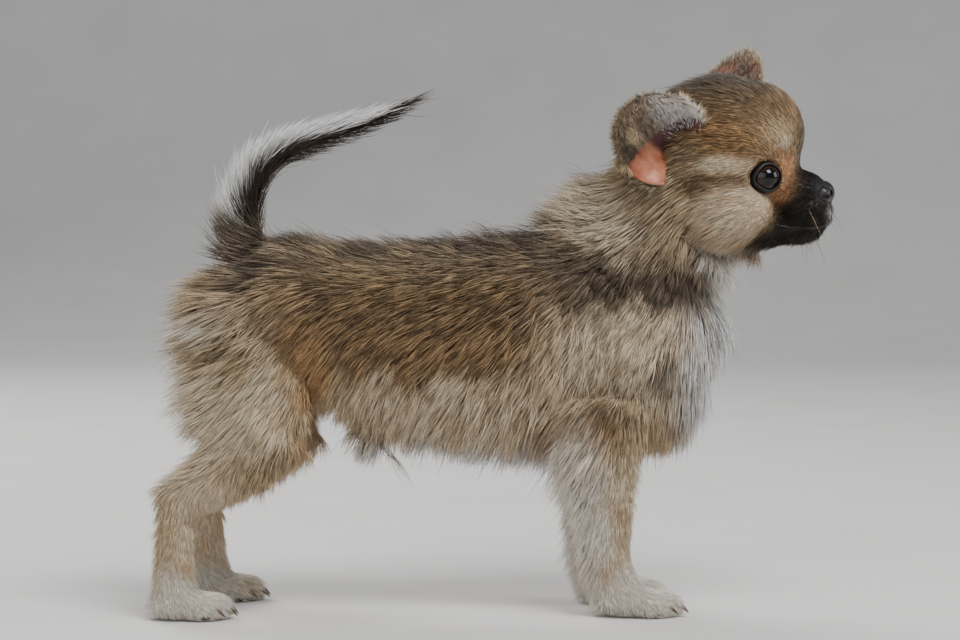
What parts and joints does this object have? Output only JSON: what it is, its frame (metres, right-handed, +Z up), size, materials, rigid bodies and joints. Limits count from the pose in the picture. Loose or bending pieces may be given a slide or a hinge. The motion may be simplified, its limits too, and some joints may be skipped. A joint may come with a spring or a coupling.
{
  "type": "chihuahua puppy, standing life-size model",
  "caption": "Long-coated chihuahua puppy as a still, life-size museum model, standing square on its paws with its tail held up and its head turned a little to its right.",
  "frame": {"origin": "on the floor, under the middle of the whole model's bounding box", "axes": "+X towards the nose, +Y to the animal's left, +Z up"},
  "size_m": [0.2736, 0.078, 0.2305],
  "materials": {
    "coat": "soft sable puppy fur, cream to tan with dark tips",
    "nose_leather": "moist, finely pebbled black",
    "bare_skin": "thin pink skin, as in the cup of the ear",
    "claw": "translucent dark horn",
    "eye_glass": "very dark brown, glossy and opaque"
  },
  "bodies": {
    "root": {"head": "coat", "ear_right": "coat", "ear_left": "coat", "nose": "nose_leather", "eye_right": "eye_glass", "eye_left": "eye_glass", "neck": "coat", "torso_front": "coat", "torso_rear": "coat", "tail_root": "coat", "tail_plume": "coat", "thigh_right": "coat", "thigh_left": "coat", "shank_right": "coat", "shank_left": "coat", "hindpaw_right": "coat", "hindpaw_left": "coat", "foreleg_right": "coat", "foreleg_left": "coat", "forepaw_right": "coat", "forepaw_left": "coat"}
  },
  "joints": []
}
